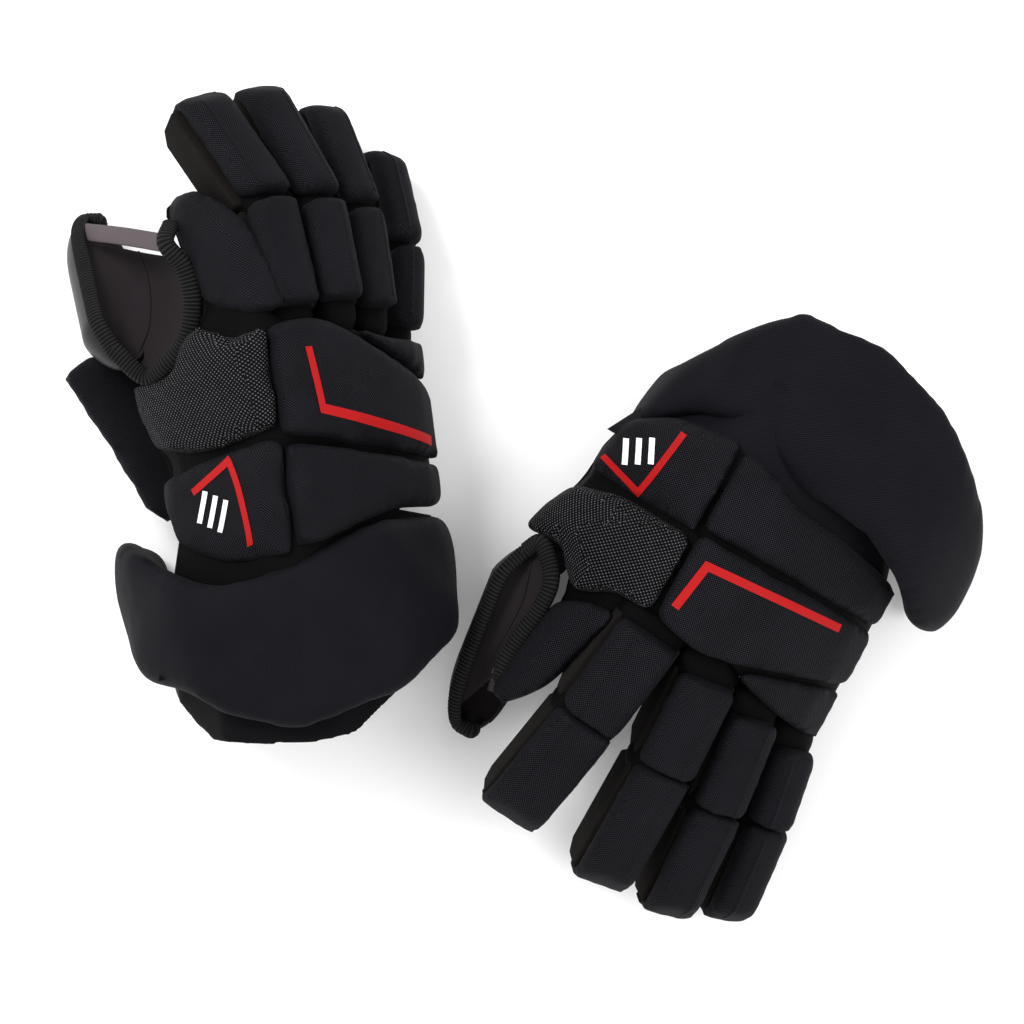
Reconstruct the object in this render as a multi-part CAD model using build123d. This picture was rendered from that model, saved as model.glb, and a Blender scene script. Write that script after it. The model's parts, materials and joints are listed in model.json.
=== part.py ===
"""A pair of padded ice-hockey gloves, each an assembly of pads, sleeves, liner, palm and cuff.

One right-hand glove is modelled in its own hand frame: +Y runs from the wrist to the fingertips,
+X points to the little finger and +Z out of the back of the hand. The spine seam, where the pads
of the thumb side meet the rolls of the little-finger side, is the line x = 0. The left glove is
the mirror image. Each glove is then rolled and turned as it lies on a flat surface, and its cuff
is built flat on that surface. All sizes are millimetres, and +Z is up. The pair's origin is the
centre of the base of its bounding box.
"""
from build123d import *
from math import cos, radians, sin, tan
import os

# ---- section of the hand: a polygonal arch of padding over a lined cavity ----
ARCH_OUTER = [(-76, -30), (-10, 48), (0, 54), (14, 54), (42, 46), (72, 32), (95, 15), (108, -4),
              (110, -12)]
ARCH_INNER = [(-63.8, -40.3), (1, 36.5), (16, 37.5), (37, 31), (64, 18), (84, 3), (93, -12)]
CAVITY = [(-41.5, -14), (1, 36.5), (16, 37.5), (37, 31), (64, 18), (84, 3), (92, -10.5), (92, -14)]
FIT = 0.3                        # clearance between layers that lie on each other
LINER_WALL = 2.0
LINER_PLAN = [(-60, 4), (50, 4), (100, 22), (100, 76), (45, 94), (-60, 94)]
PALM_WALL = 3.0
PALM_TOP = -14.5
PALM_PLAN = [(-38, 14), (-30, 8), (80, 8), (90, 16), (90, 78), (60, 95), (10, 92), (-30, 92)]

# Plan outlines of the pads on the back of the hand; each is cut from the arch.
HAND_PADS = {
    "wrist_block": [(-56, 44), (-50, 14), (-33, 3), (-1.5, 0), (-1.5, 49), (-38, 47)],
    "thumb_base_block": [(-58, 56), (-37, 49.5), (-1.5, 52), (-1.5, 93.5), (-17, 94), (-35, 104),
                         (-50, 87), (-71, 86), (-67, 76)],
    "wrist_roll": [(1.5, 3), (1.5, 46), (111, 47), (111, 25), (64, 16.5), (42, 14.5), (12, 5)],
    "backhand_roll": [(1.5, 48.5), (1.5, 94), (28, 100), (45, 97.5), (111, 79), (111, 49.5)],
}
WEDGE_LOW = [(48, 99.5), (111, 81.5)]    # lower edge of the wedge roll under the knuckles
WEB_BINDING = [(-36.5, 107.5), (-50.5, 90), (-54, 93), (-40, 110.5)]

# ---- side panel, under the thumb at the side of the wrist ----
SIDE_PANEL = [(-78, 104), (-68, 113), (-52, 100), (-46, 30), (-52, 23), (-58, 30)]
PANEL_LOW, PANEL_HIGH = -53.0, -41.5

# ---- fingers: pad width, roll, lengths of base and tip ----
FINGERS = {
    "index": dict(width=33, roll=8, base=55, tip=64),
    "middle": dict(width=30, roll=13, base=52, tip=68),
    "ring": dict(width=27, roll=18, base=52, tip=61),
    "little": dict(width=24, roll=22, base=43, tip=55),
}
KNUCKLE_PITCH = 12.0             # how far each knuckle is bent as the glove lies
SLEEVE_HALF, SLEEVE_WALL, SLEEVE_INSET = 10.0, 2.2, 2.0
PAD_BASE, PAD_SHOULDER, PAD_TOP, PAD_CHAMFER = 10.3, 20.0, 26.0, 6.0
SEGMENT_START = 2.5              # a base segment begins this far from its knuckle hinge
MIDDLE_GAP = 0.6                 # half the gap between the two segments at the middle hinge
PALM_LEAN = 35.0                 # how far segment ends lean apart on the palm side
BACK_LEAN = 4.0                  # how far segment ends lean together on the back
NOSE_WALL, NOSE_DROP, NOSE_CUT = 4.0, 4.0, 13.0
NOSE_TUCK = 6.0                  # chamfer under the tip of a sleeve

# ---- pad on the thumb side of the index finger ----
INDEX_SIDE = [(-38, 112), (-27, 104), (-15, 102), (-24, 150), (-33, 166), (-39, 171), (-44, 165),
              (-41, 138)]
INDEX_SIDE_DROP = 4.0

# ---- thumb: a faceted half shell with a liner and a web strap ----
THUMB_TURN, THUMB_ROLL = -8.0, -20.0
THUMB_PLAN = [(-7, 0), (7, 0), (16, 14), (17, 66), (9, 103), (-5, 107), (-16, 92), (-19, 50),
              (-17, 12)]
THUMB_SHELL_R, THUMB_LINER_R, THUMB_LINER_WALL = 18.5, 14.8, 2.2
THUMB_NOSE, THUMB_LINER_ENDS = 4.0, 14.0
THUMB_MOUTH, THUMB_FLOOR = -4.0, -9.0   # the shell is open past this line, above this level
THUMB_FLOOR_EDGE = 6.0           # and its floor ends here on the index side
STRAP_Y, STRAP_Z, STRAP_WIDTH, STRAP_THICK = 74.0, -12.0, 9.0, 2.0
STRAP_FROM, STRAP_TO = -7.0, 12.0
THUMB_CLEAR = 2.5                # the index side block keeps this far from the thumb

# ---- cuff, built flat on the floor: wrap and lining ----
CUFF_WALL, LINING_WALL = 16.0, 2.5
CUFF_BACK, CUFF_FRONT = -100.0, 60.0     # past both ends of every cuff
# The cuff's faceted arch from foot to foot, as fractions of its half width and its height.
CUFF_ARCH = [(-0.86, 0), (-1, 0.3), (-0.93, 0.62), (-0.62, 0.9), (-0.2, 1), (0.25, 1), (0.66, 0.88),
             (0.95, 0.55), (1, 0.28), (0.86, 0)]
CUFF_BELOW_CREST = 6.0

# ---- how each glove lies: turn in plan, roll, and how its soft body gives way ----
# squeeze and thumb_side draw the two sides of the spine in, stretch lengthens the back of the
# hand, and droop lets its rows fall back towards the wrist at both sides. Each finger has its
# knuckle's position, its splay and how far its tip curls sideways towards the thumb.
GLOVES = {
    "right": dict(
        mirrored=False, at=(-123.6, -25.0), turn=7.5, roll=20.0,
        squeeze=0.88, thumb_side=0.67, stretch=1.18, droop=0.22, finger_width=0.79,
        fingers=dict(index=((16.0, 113.0, 23.4), -2, 13), middle=((41.0, 114.0, 15.8), 0, 8),
                     ring=((61.5, 109.5, 2.3), 3, 0), little=((79.0, 100.5, -16.0), 13, 0)),
        wedge_top=[(97, 97), (68, 99), (54, 104)],
        middle_pitch=18.0, side_shift=(21.0, 12.5),
        thumb_at=(-56.0, 104.0, -27.0), thumb_pitch=42.0, panel_drop=21.0, panel_shift=3.0,
        cuff_middle=9.5, cuff_half=79.0,
        cuff_plan=[(-80, 14), (-64, 2), (-34, -12), (0, -6), (18, -2), (45, 8), (66, 14), (86, 12),
                   (87, -42), (77, -60), (58, -73), (8, -86), (-66, -62)],
        lining_plan=[(-76, -22), (86, -22), (70, -60), (58, -72), (33, -91), (8, -93), (-35, -88),
                     (-52, -69)]),
    "left": dict(
        mirrored=True, at=(106.6, 31.4), turn=151.3, roll=4.0,
        squeeze=1.0, thumb_side=1.0, stretch=1.0, droop=0.0, finger_width=1.0,
        fingers=dict(index=((4.0, 97.5, 23.4), -7, 0), middle=((38.2, 104.5, 15.8), 4, 0),
                     ring=((67.0, 111.0, 2.3), 9, 0), little=((93.8, 115.5, -16.0), 12, 0)),
        wedge_top=[(111, 111.5), (80, 108), (60, 103)],
        middle_pitch=8.0, side_shift=(0.0, 0.0),
        thumb_at=(-58.0, 90.0, -25.0), thumb_pitch=14.0, panel_drop=11.0, panel_shift=14.0,
        cuff_middle=42.0, cuff_half=93.0,
        cuff_plan=[(-54, 22), (-49, 8), (-28, -8), (-5, -10), (14, -2), (42, 8), (64, 10),
                   (106, 18), (113, 30), (122, 33), (134, 12), (135, -10), (121, -38), (86, -63),
                   (41, -78), (0, -73), (-34, -46), (-50, -10)],
        lining_plan=[(-60, -22), (130, -22), (110, -36), (86, -54), (58, -66), (16, -70), (0, -66),
                     (-30, -40)]),
}
CUFF_CLEAR = 1.5                 # the wrist pads keep this far from the cuff's outline
FLOOR_GAP = 0.2                  # the fingertips clear the floor by this much


def across(y=0.0):
    """The plane across the hand at y: its local x is +X and its local y is +Z."""
    return Plane(origin=(0, y, 0), x_dir=(1, 0, 0), z_dir=(0, -1, 0))


def bar(points, back, front):
    """A bar from y = back to y = front with the given section in X and Z."""
    return extrude(across(front) * make_face(Polyline(points, close=True)), amount=front - back)


def prism(points, low=-90.0, high=160.0):
    """An upright prism over a plan outline."""
    outline = make_face(Polyline(points, close=True))
    return extrude(Plane.XY.offset(low) * outline, amount=high - low)


def cross_wise(points, width):
    """A block whose side outline is given in Y and Z, centred across its width."""
    side = Plane(origin=(-width / 2, 0, 0), x_dir=(0, 1, 0), z_dir=(1, 0, 0))
    return extrude(side * make_face(Polyline(points, close=True)), amount=width)


def inset(points, amount):
    """The corners of a polygon moved in by amount all round."""
    face = offset(make_face(Polyline(points, close=True)), amount=-amount, kind=Kind.INTERSECTION)
    starts = [edge @ 0 for edge in face.face().outer_wire().order_edges()]
    return [(corner.X, corner.Y) for corner in starts]


def squeezed(points, lay):
    """Points with both sides of the spine drawn in as this glove lies."""
    return [(x * lay["squeeze" if x > 0 else "thumb_side"], *rest) for x, *rest in points]


def stretched(points, lay, droop=0.0):
    """Plan points of the hand drawn in, lengthened, and falling back at both sides."""
    return [(x, y * lay["stretch"] - droop * abs(x)) for x, y in squeezed(points, lay)]


def hand_pads(lay):
    """The pads on the back of the hand, and the binding of the thumb's web."""
    arch = bar(squeezed(ARCH_OUTER + ARCH_INNER[::-1], lay), -30, 150)
    plans = {name: stretched(plan, lay, lay["droop"]) for name, plan in HAND_PADS.items()}
    plans["knuckle_roll"] = stretched(WEDGE_LOW, lay, lay["droop"]) + lay["wedge_top"]
    plans["web_binding"] = stretched(WEB_BINDING, lay, lay["droop"])
    return {name: arch & prism(plan) for name, plan in plans.items()}


def hand_shell(lay):
    """The lining tube of the hand's cavity, and the palm panel under it."""
    cavity = squeezed(CAVITY, lay)
    tube = bar(inset(cavity, FIT), -30, 150) & prism(stretched(LINER_PLAN, lay))
    hole = bar(inset(cavity, FIT + LINER_WALL), -30, 150)
    palm = prism(stretched(PALM_PLAN, lay), PALM_TOP - PALM_WALL, PALM_TOP)
    return {"hand_liner": tube - hole, "palm": palm}


def pad_bar(width, low, length):
    """A long bar with the section of a finger pad, its two upper edges chamfered."""
    half = width / 2
    section = [(-half, low), (-half, PAD_SHOULDER), (-half + PAD_CHAMFER, PAD_TOP),
               (half - PAD_CHAMFER, PAD_TOP), (half, PAD_SHOULDER), (half, low)]
    return bar(section, -length, 2 * length)


def finger_hole(width, back, front):
    """The room for a finger inside a sleeve."""
    return Pos(0, (back + front) / 2, 0) * Box(
        width - 2 * SLEEVE_WALL, front - back, 2 * (SLEEVE_HALF - SLEEVE_WALL))


def finger_base(width, length):
    """The base segment's pad and open sleeve, in the frame of its knuckle hinge."""
    back, front = SEGMENT_START, length - MIDDLE_GAP
    top_lean, palm_lean = PAD_TOP * tan(radians(BACK_LEAN)), SLEEVE_HALF * tan(radians(PALM_LEAN))
    pad_side = [(back, PAD_BASE), (back, PAD_TOP), (front + top_lean, PAD_TOP), (front, PAD_BASE)]
    sleeve_side = [(back, SLEEVE_HALF), (front, SLEEVE_HALF), (front, 0),
                   (front - palm_lean, -SLEEVE_HALF), (back + palm_lean, -SLEEVE_HALF), (back, 0)]
    inner = width - 2 * SLEEVE_INSET
    pad = pad_bar(width, PAD_BASE, length) & cross_wise(pad_side, width)
    sleeve = cross_wise(sleeve_side, inner) - finger_hole(inner, -length, 2 * length)
    return pad, sleeve


def finger_tip(width, length, curl):
    """The tip segment's pad, folded over its nose, and its closed sleeve.

    The segment points sideways by curl, but starts square to the base segment.
    """
    top_lean, palm_lean = PAD_TOP * tan(radians(BACK_LEAN)), SLEEVE_HALF * tan(radians(PALM_LEAN))
    nose, behind = length + NOSE_WALL, -length / 2
    start = [(MIDDLE_GAP + palm_lean, -SLEEVE_HALF), (MIDDLE_GAP, 0), (MIDDLE_GAP, PAD_BASE),
             (MIDDLE_GAP - top_lean, PAD_TOP), (2 * length, PAD_TOP), (2 * length, -SLEEVE_HALF)]
    pad_side = [(behind, PAD_BASE), (behind, PAD_TOP), (nose - NOSE_CUT, PAD_TOP),
                (nose, PAD_TOP - NOSE_CUT), (nose, -NOSE_DROP), (length + FIT, -NOSE_DROP),
                (length + FIT, PAD_BASE)]
    sleeve_side = [(behind, -SLEEVE_HALF), (behind, SLEEVE_HALF), (length, SLEEVE_HALF),
                   (length, NOSE_TUCK - SLEEVE_HALF), (length - NOSE_TUCK, -SLEEVE_HALF)]
    inner = width - 2 * SLEEVE_INSET
    pad = pad_bar(width, -NOSE_DROP, length) & cross_wise(pad_side, width)
    sleeve = cross_wise(sleeve_side, inner) - finger_hole(inner, -length, length - NOSE_TUCK)
    front = cross_wise(start, 4 * width)
    return (Rot(0, 0, curl) * pad) & front, (Rot(0, 0, curl) * sleeve) & front


def index_side_block(place, width, lay):
    """The pad beside the index finger; it slopes like the thumb side of the arch."""
    arch = bar(squeezed(ARCH_OUTER + ARCH_INNER[::-1], lay), -5, 100)
    knuckle_y = lay["fingers"]["index"][0][1]
    shift_x, shift_y = lay["side_shift"]
    plan = [(x + shift_x, y + shift_y) for x, y in INDEX_SIDE]
    sloped = Pos(0, knuckle_y, -INDEX_SIDE_DROP) * Rot(-KNUCKLE_PITCH, 0, 0) * arch
    finger = place * Pos(0, 50, 5) * Box(width + 2, 160, 70)
    return (sloped & prism(plan)) - finger


def octagon(radius):
    """Corners of a regular octagon with flat sides left, right, top and bottom."""
    corner = radius / cos(radians(22.5))
    turns = [radians(22.5 + 45 * step) for step in range(8)]
    return [(corner * cos(turn), corner * sin(turn)) for turn in turns]


def thumb_parts():
    """The thumb's shell, and its liner with the web strap, in the frame of its hinge."""
    length = max(y for x, y in THUMB_PLAN)
    above_floor = Pos(THUMB_MOUTH + 25, length / 2, THUMB_FLOOR + 50) * Box(50, 2 * length, 100)
    past_floor = Pos(THUMB_FLOOR_EDGE + 25, length / 2, 0) * Box(50, 2 * length, 100)
    mouth = above_floor + past_floor
    outer = bar(octagon(THUMB_SHELL_R), 0, length) & prism(THUMB_PLAN)
    shell = outer - bar(octagon(THUMB_LINER_R + FIT), -1, length - THUMB_NOSE) - mouth
    back, front = THUMB_LINER_ENDS, length - THUMB_LINER_ENDS
    hole = bar(octagon(THUMB_LINER_R - THUMB_LINER_WALL), back - 1, front - THUMB_LINER_WALL)
    liner = bar(octagon(THUMB_LINER_R), back, front) - hole - mouth
    strap_middle = (STRAP_FROM + STRAP_TO) / 2
    strap = Pos(strap_middle, STRAP_Y, STRAP_Z) * Box(STRAP_TO - STRAP_FROM, STRAP_WIDTH, STRAP_THICK)
    return {"thumb_shell": shell, "thumb_liner": liner + strap}


def joint_frames(lay):
    """Where each moving body's hinge frame stands in the hand frame; fingers turn about local X."""
    thumb = Pos(*lay["thumb_at"]) * Rot(0, 0, THUMB_TURN) * Rot(-lay["thumb_pitch"], 0, 0)
    places = {"thumb": thumb}
    for name, spec in FINGERS.items():
        at, splay, _ = lay["fingers"][name]
        base = Pos(*at) * Rot(0, 0, -splay) * Rot(-KNUCKLE_PITCH, 0, 0) * Rot(0, spec["roll"], 0)
        places[name + "_base"] = base
        places[name + "_tip"] = base * Pos(0, spec["base"], 0) * Rot(-lay["middle_pitch"], 0, 0)
    return places


def hand_nodes(lay):
    """Every node of one right-hand glove but its cuff, in the hand frame."""
    places = joint_frames(lay)
    nodes = {**hand_pads(lay), **hand_shell(lay)}
    panel = prism(SIDE_PANEL, PANEL_LOW, PANEL_HIGH)
    nodes["side_panel"] = Pos(lay["panel_shift"], 0, -lay["panel_drop"]) * panel
    for name, shape in thumb_parts().items():
        nodes[name] = places["thumb"] * Rot(0, THUMB_ROLL, 0) * shape
    for name, spec in FINGERS.items():
        width = spec["width"] * lay["finger_width"]
        base_pad, base_stall = finger_base(width, spec["base"])
        tip_pad, tip_stall = finger_tip(width, spec["tip"], lay["fingers"][name][2])
        nodes[name + "_knuckle_pad"] = places[name + "_base"] * base_pad
        nodes[name + "_base_stall"] = places[name + "_base"] * base_stall
        nodes[name + "_tip_pad"] = places[name + "_tip"] * tip_pad
        nodes[name + "_tip_stall"] = places[name + "_tip"] * tip_stall
    index_width = FINGERS["index"]["width"] * lay["finger_width"]
    block = index_side_block(places["index_base"], index_width, lay)
    room = places["thumb"] * Rot(0, THUMB_ROLL, 0) * bar(octagon(THUMB_SHELL_R + THUMB_CLEAR), 0, 120)
    nodes["index_side_block"] = block - room
    return nodes


def cuff_nodes(lay, top):
    """The cuff's wrap and lining, standing on z = 0; top is the height of the hand's crest."""
    height = top - CUFF_BELOW_CREST
    arch = [(lay["cuff_middle"] + lay["cuff_half"] * x, height * z) for x, z in CUFF_ARCH]
    open_below = [(x, z if z > 0 else z - 2 * CUFF_WALL) for x, z in arch]
    wrap = bar(arch, CUFF_BACK, CUFF_FRONT) - bar(inset(open_below, CUFF_WALL), CUFF_BACK, CUFF_FRONT)
    room = inset(open_below, CUFF_WALL + FIT)
    lining_face = [(x, max(z, 0)) for x, z in room]
    hole = bar(inset(lining_face, LINING_WALL), CUFF_BACK, CUFF_FRONT)
    lining = bar(lining_face, CUFF_BACK, CUFF_FRONT) - hole
    return {"cuff_roll": wrap & prism(lay["cuff_plan"]), "cuff_lining": lining & prism(lay["lining_plan"])}


def build_pair():
    """Both gloves on the floor, centred, as {node: shape}, and each glove's hand and cuff frames."""
    pair, frames = {}, {}
    for glove, lay in GLOVES.items():
        turned = Pos(*lay["at"], 0) * Rot(0, 0, lay["turn"])
        tilt = -lay["roll"] if lay["mirrored"] else lay["roll"]
        hand = hand_nodes(lay)
        if lay["mirrored"]:
            hand = {name: mirror(shape, about=Plane.YZ) for name, shape in hand.items()}
        rolled = {name: Rot(0, tilt, 0) * shape for name, shape in hand.items()}
        lift = FLOOR_GAP - min(shape.bounding_box().min.Z for shape in rolled.values())
        crest = lift + max(z for x, z in ARCH_OUTER) * cos(radians(lay["roll"]))
        cuff = cuff_nodes(lay, crest)
        if lay["mirrored"]:
            cuff = {name: mirror(shape, about=Plane.YZ) for name, shape in cuff.items()}
        rim = prism(inset(lay["cuff_plan"], -CUFF_CLEAR), 0, 200)
        if lay["mirrored"]:
            rim = mirror(rim, about=Plane.YZ)
        for name, shape in rolled.items():
            lifted = Pos(0, 0, lift) * shape
            if name.startswith("wrist"):
                lifted = lifted - rim
            pair[f"{glove}_{name}"] = turned * lifted
        for name, shape in cuff.items():
            pair[f"{glove}_{name}"] = turned * shape
        frames[glove] = dict(hand=turned * Pos(0, 0, lift) * Rot(0, tilt, 0), cuff=turned, crest=crest)
    boxes = [shape.bounding_box() for shape in pair.values()]
    middle_x = (min(b.min.X for b in boxes) + max(b.max.X for b in boxes)) / 2
    middle_y = (min(b.min.Y for b in boxes) + max(b.max.Y for b in boxes)) / 2
    centre = Pos(-middle_x, -middle_y, 0)
    for frame in frames.values():
        frame.update(hand=centre * frame["hand"], cuff=centre * frame["cuff"])
    return {name: centre * shape for name, shape in pair.items()}, frames


PAIR, FRAMES = build_pair()
os.makedirs("parts", exist_ok=True)
for node, shape in PAIR.items():
    export_step(shape, f"parts/{node}.step")
print(len(PAIR), "nodes written")
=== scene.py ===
"""Looks for the pair of ice hockey gloves: puffed woven pads, ribbed binding, leather thumbs, cuffs.

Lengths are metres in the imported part's frame. A glove's own hand frame has +Y towards the
fingertips, +X towards the little finger and +Z out of the back of the hand; its points are given
in millimetres and mirrored for the left glove.
"""
import bpy
import bmesh
import json
import numpy as np
from math import cos, pi, radians, sin
from mathutils import Matrix, Vector
from mathutils.bvhtree import BVHTree


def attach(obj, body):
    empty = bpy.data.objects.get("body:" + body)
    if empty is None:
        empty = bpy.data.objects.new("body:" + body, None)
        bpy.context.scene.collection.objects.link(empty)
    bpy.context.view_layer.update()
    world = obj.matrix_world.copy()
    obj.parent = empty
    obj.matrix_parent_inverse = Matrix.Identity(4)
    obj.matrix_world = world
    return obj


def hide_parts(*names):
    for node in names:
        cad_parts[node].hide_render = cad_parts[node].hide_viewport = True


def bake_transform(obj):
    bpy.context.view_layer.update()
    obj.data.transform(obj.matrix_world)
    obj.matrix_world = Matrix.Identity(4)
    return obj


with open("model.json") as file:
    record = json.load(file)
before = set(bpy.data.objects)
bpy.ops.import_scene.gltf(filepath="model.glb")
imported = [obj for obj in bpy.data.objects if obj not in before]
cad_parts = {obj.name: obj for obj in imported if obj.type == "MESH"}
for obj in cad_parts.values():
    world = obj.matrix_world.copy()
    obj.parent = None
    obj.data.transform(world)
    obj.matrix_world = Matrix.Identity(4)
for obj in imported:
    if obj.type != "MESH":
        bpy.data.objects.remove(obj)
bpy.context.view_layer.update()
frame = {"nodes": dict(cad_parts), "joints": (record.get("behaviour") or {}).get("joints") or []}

MM = 0.001
FINGERS = ("index", "middle", "ring", "little")
# How each glove lies, as in the part's source: the hand frame's origin, turn and roll, then how its
# plan is drawn in, lengthened and falls back at both sides of the spine.
LAY = {
    "right": dict(at=(-121.22, -23.81, 90.76), turn=7.5, roll=20.0, mirrored=False,
                  squeeze=0.88, thumb_side=0.67, stretch=1.18, droop=0.22, middle_bend=18.0,
                  thumb_at=(-52.0, 103.0, -25.0), thumb_pitch=42.0, curl=dict(index=13.0, middle=8.0)),
    "left": dict(at=(108.98, 32.59, 66.47), turn=151.3, roll=-4.0, mirrored=True,
                 squeeze=1.0, thumb_side=1.0, stretch=1.0, droop=0.0, middle_bend=8.0,
                 thumb_at=(-58.0, 90.0, -25.0), thumb_pitch=14.0, curl={}),
}
THUMB_TURN, THUMB_ROLL = -8.0, -20.0
WEAVE_PITCH = 1.35 * MM
RIB_PITCH = 1.9 * MM
NODES = frame["nodes"]
JOINTS = {joint["name"]: joint for joint in frame["joints"]}


# ---------------------------------------------------------------- frames
def hand_frame(glove):
    """The matrix that takes a glove's hand frame, in metres, to the row frame."""
    lay = LAY[glove]
    move = Matrix.Translation(Vector(lay["at"]) * MM)
    turn = Matrix.Rotation(radians(lay["turn"]), 4, "Z")
    return move @ turn @ Matrix.Rotation(radians(lay["roll"]), 4, "Y")


def from_hand(glove, point):
    """A hand-frame point in millimetres, mirrored for the left glove, in the row frame."""
    x, y, z = point
    side = -1 if LAY[glove]["mirrored"] else 1
    return hand_frame(glove) @ (Vector((x * side, y, z)) * MM)


def on_plan(glove, x, y):
    """A point of the pads' plan, in millimetres, as it lies in this glove's hand frame."""
    lay = LAY[glove]
    x *= lay["squeeze"] if x > 0 else lay["thumb_side"]
    return x, y * lay["stretch"] - lay["droop"] * abs(x)


def thumb_point(glove, point):
    """A point in the thumb's own frame, in millimetres, in the row frame."""
    lay = LAY[glove]
    place = Matrix.Translation(Vector(lay["thumb_at"]))
    place = place @ Matrix.Rotation(radians(THUMB_TURN), 4, "Z")
    place = place @ Matrix.Rotation(radians(-lay["thumb_pitch"]), 4, "X")
    place = place @ Matrix.Rotation(radians(THUMB_ROLL), 4, "Y")
    return from_hand(glove, place @ Vector(point))


def frame_from_axes(origin, along, up):
    """A frame at origin with +Y along and +Z as near to up as it can be."""
    y = Vector(along).normalized()
    x = y.cross(Vector(up)).normalized()
    z = x.cross(y)
    rotation = Matrix((x, y, z)).transposed().to_4x4()
    return Matrix.Translation(origin) @ rotation


def finger_frame(glove, finger, segment):
    """The frame of a finger segment: +Y along it and +Z out of its back."""
    knuckle = JOINTS[f"{glove}_{finger}_knuckle_hinge"]
    middle = JOINTS[f"{glove}_{finger}_middle_hinge"]
    start, bend_at = Vector(knuckle["pos_m"]), Vector(middle["pos_m"])
    along = (bend_at - start).normalized()
    up = Vector(knuckle["axis"]).cross(along)
    if up.z < 0:
        up = -up
    if segment == "base":
        return frame_from_axes(start, along, up)
    turn = Matrix.Rotation(radians(LAY[glove]["middle_bend"]), 3, Vector(middle["axis"]))
    along, up = turn @ along, turn @ up
    side = 1 if not LAY[glove]["mirrored"] else -1
    curl = Matrix.Rotation(radians(side * LAY[glove]["curl"].get(finger, 0.0)), 3, up)
    return frame_from_axes(bend_at, curl @ along, up)


# ---------------------------------------------------------------- materials
class Nodes:
    """A short way to write a material's node tree."""

    def __init__(self, name):
        self.material = bpy.data.materials.new(name)
        self.material.use_nodes = True
        self.tree = self.material.node_tree
        self.shader = self.tree.nodes["Principled BSDF"]

    def feed(self, value, socket):
        if isinstance(value, bpy.types.NodeSocket):
            self.tree.links.new(value, socket)
        else:
            socket.default_value = value

    def math(self, operation, a, b=0.0, c=0.0):
        node = self.tree.nodes.new("ShaderNodeMath")
        node.operation = operation
        for value, socket in zip((a, b, c), node.inputs):
            self.feed(value, socket)
        return node.outputs[0]

    def mix(self, factor, first, second):
        node = self.tree.nodes.new("ShaderNodeMix")
        node.data_type = "RGBA"
        self.feed(factor, node.inputs["Factor"])
        self.feed(first, node.inputs["A"])
        self.feed(second, node.inputs["B"])
        return node.outputs["Result"]

    def noise(self, scale, detail=3.0):
        node = self.tree.nodes.new("ShaderNodeTexNoise")
        node.inputs["Scale"].default_value = scale
        node.inputs["Detail"].default_value = detail
        place = self.tree.nodes.new("ShaderNodeTexCoord").outputs["Object"]
        self.tree.links.new(place, node.inputs["Vector"])
        return node.outputs["Fac"]

    def uv(self):
        split = self.tree.nodes.new("ShaderNodeSeparateXYZ")
        self.tree.links.new(self.tree.nodes.new("ShaderNodeTexCoord").outputs["UV"], split.inputs[0])
        return split.outputs["X"], split.outputs["Y"]

    def bump(self, height, strength, distance):
        node = self.tree.nodes.new("ShaderNodeBump")
        node.inputs["Strength"].default_value = strength
        node.inputs["Distance"].default_value = distance
        self.tree.links.new(height, node.inputs["Height"])
        self.tree.links.new(node.outputs["Normal"], self.shader.inputs["Normal"])

    def finish(self, colour, roughness, **constants):
        self.feed(colour, self.shader.inputs["Base Color"])
        self.feed(roughness, self.shader.inputs["Roughness"])
        for key, value in constants.items():
            self.shader.inputs[key.replace("_", " ")].default_value = value
        return self.material


def thread_height(nodes, pitch_x, pitch_y):
    """Height of a plain weave: raised dots where one thread crosses over the other."""
    x, y = nodes.uv()
    across = nodes.math("SINE", nodes.math("MULTIPLY", x, 2 * pi / pitch_x))
    along = nodes.math("SINE", nodes.math("MULTIPLY", y, 2 * pi / pitch_y))
    return nodes.math("MULTIPLY_ADD", nodes.math("MULTIPLY", across, along), 0.5, 0.5)


def fabric(name, valley, thread, pitch=(WEAVE_PITCH, WEAVE_PITCH), depth=0.25 * MM, sheen=0.004,
           rough=0.7, glint=0.0):
    """A woven cloth. valley and thread are the colours between and on the threads."""
    nodes = Nodes(name)
    height = thread_height(nodes, *pitch)
    worn = nodes.math("MULTIPLY_ADD", nodes.noise(45.0), 0.8, 0.6)
    lit = nodes.math("MULTIPLY", nodes.math("POWER", height, 3.0), worn)
    colour = nodes.mix(lit, (*valley, 1), (*thread, 1))
    if glint:
        patchy = nodes.math("MULTIPLY", nodes.noise(420.0, 1.0), nodes.math("POWER", height, 9.0))
        colour = nodes.mix(nodes.math("MULTIPLY", patchy, glint), colour, (0.50, 0.51, 0.54, 1))
    nodes.bump(height, 0.8, depth)
    return nodes.finish(colour, rough, Sheen_Weight=sheen, Sheen_Roughness=0.5, Specular_IOR_Level=0.05)


def suede():
    nodes = Nodes("suede")
    fine, broad = nodes.noise(1800.0, 4.0), nodes.noise(60.0)
    shade = nodes.math("MULTIPLY_ADD", fine, 0.6, nodes.math("MULTIPLY", broad, 0.4))
    colour = nodes.mix(shade, (0.0030, 0.0026, 0.0024, 1), (0.0130, 0.0112, 0.0100, 1))
    nodes.bump(fine, 0.5, 0.2 * MM)
    return nodes.finish(colour, 0.9, Sheen_Weight=0.01, Specular_IOR_Level=0.04)


def leather():
    nodes = Nodes("thumb_leather")
    grain, broad = nodes.noise(700.0, 4.0), nodes.noise(35.0)
    colour = nodes.mix(broad, (0.004, 0.004, 0.005, 1), (0.011, 0.011, 0.012, 1))
    nodes.bump(grain, 0.25, 0.15 * MM)
    rough = nodes.math("MULTIPLY_ADD", grain, 0.15, 0.34)
    return nodes.finish(colour, rough, Specular_IOR_Level=0.16)


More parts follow.
